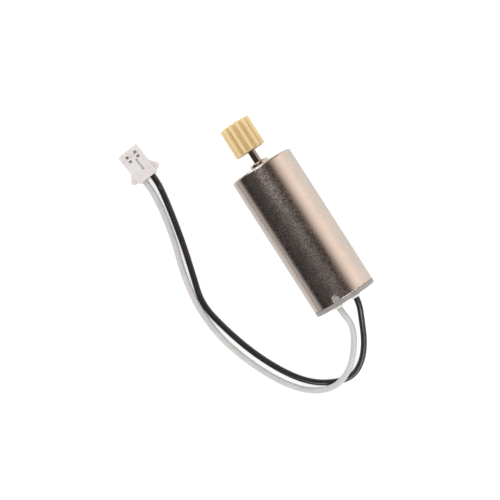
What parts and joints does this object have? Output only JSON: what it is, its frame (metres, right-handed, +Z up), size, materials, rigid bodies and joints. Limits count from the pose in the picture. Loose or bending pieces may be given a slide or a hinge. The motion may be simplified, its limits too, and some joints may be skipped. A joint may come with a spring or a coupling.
{
  "type": "coreless dc motor with pinion and plug leads",
  "caption": "Slim round coreless DC motor lying on its side, with a plastic pinion on its shaft and short black and white leads that end in a small plug.",
  "frame": {"origin": "on the surface that the motor lies on, under the middle of the motor's length from the end cap to the end of the pinion", "axes": "+X along the shaft towards the pinion, +Z up, so the leads lie on the +Y side"},
  "size_m": [0.0406, 0.0211, 0.0085],
  "materials": {
    "can_steel": "polished nickel-plated steel",
    "cap_plastic": "moulded, satin",
    "pinion_plastic": "moulded, satin, slightly translucent",
    "shaft_steel": "ground steel",
    "bronze": "sintered bronze",
    "brass": "drawn brass",
    "magnet_nickel": "plated, satin",
    "copper_winding": "enamelled copper wire bonded with resin",
    "commutator_metal": "plated copper alloy",
    "hub_plastic": "moulded, matte",
    "washer_plastic": "thin sheet",
    "solder": "tin solder",
    "glue": "clear to white adhesive",
    "white_insulation": "soft PVC, satin",
    "black_insulation": "soft PVC, glossy",
    "plug_plastic": "moulded nylon, satin",
    "contact_metal": "tinned phosphor bronze"
  },
  "bodies": {
    "stator": {"can": "can_steel", "end_cap": "cap_plastic", "magnet_sleeve": "brass", "magnet": "magnet_nickel", "front_bearing": "bronze", "rear_bearing": "bronze", "plug_housing": "plug_plastic", "white_lead": "white_insulation", "black_lead": "black_insulation", "brush_1": "brass", "terminal_1": "brass", "solder_joint_1": "solder", "lead_core_1": "copper_winding", "glue_bead_1": "glue", "plug_contact_1": "contact_metal", "brush_2": "brass", "terminal_2": "brass", "solder_joint_2": "solder", "lead_core_2": "copper_winding", "glue_bead_2": "glue", "plug_contact_2": "contact_metal"},
    "rotor": {"shaft": "shaft_steel", "pinion": "pinion_plastic", "winding": "copper_winding", "rotor_hub": "hub_plastic", "thrust_washer": "washer_plastic", "winding_taps": "copper_winding", "commutator_segment_1": "commutator_metal", "commutator_segment_2": "commutator_metal", "commutator_segment_3": "commutator_metal", "commutator_segment_4": "commutator_metal", "commutator_segment_5": "commutator_metal"}
  },
  "joints": [
    {"name": "rotor_spin", "type": "hinge", "parent": "stator", "child": "rotor", "pos_m": [0, 0, 0.00425], "axis": [1, 0, 0], "continuous": true}
  ]
}
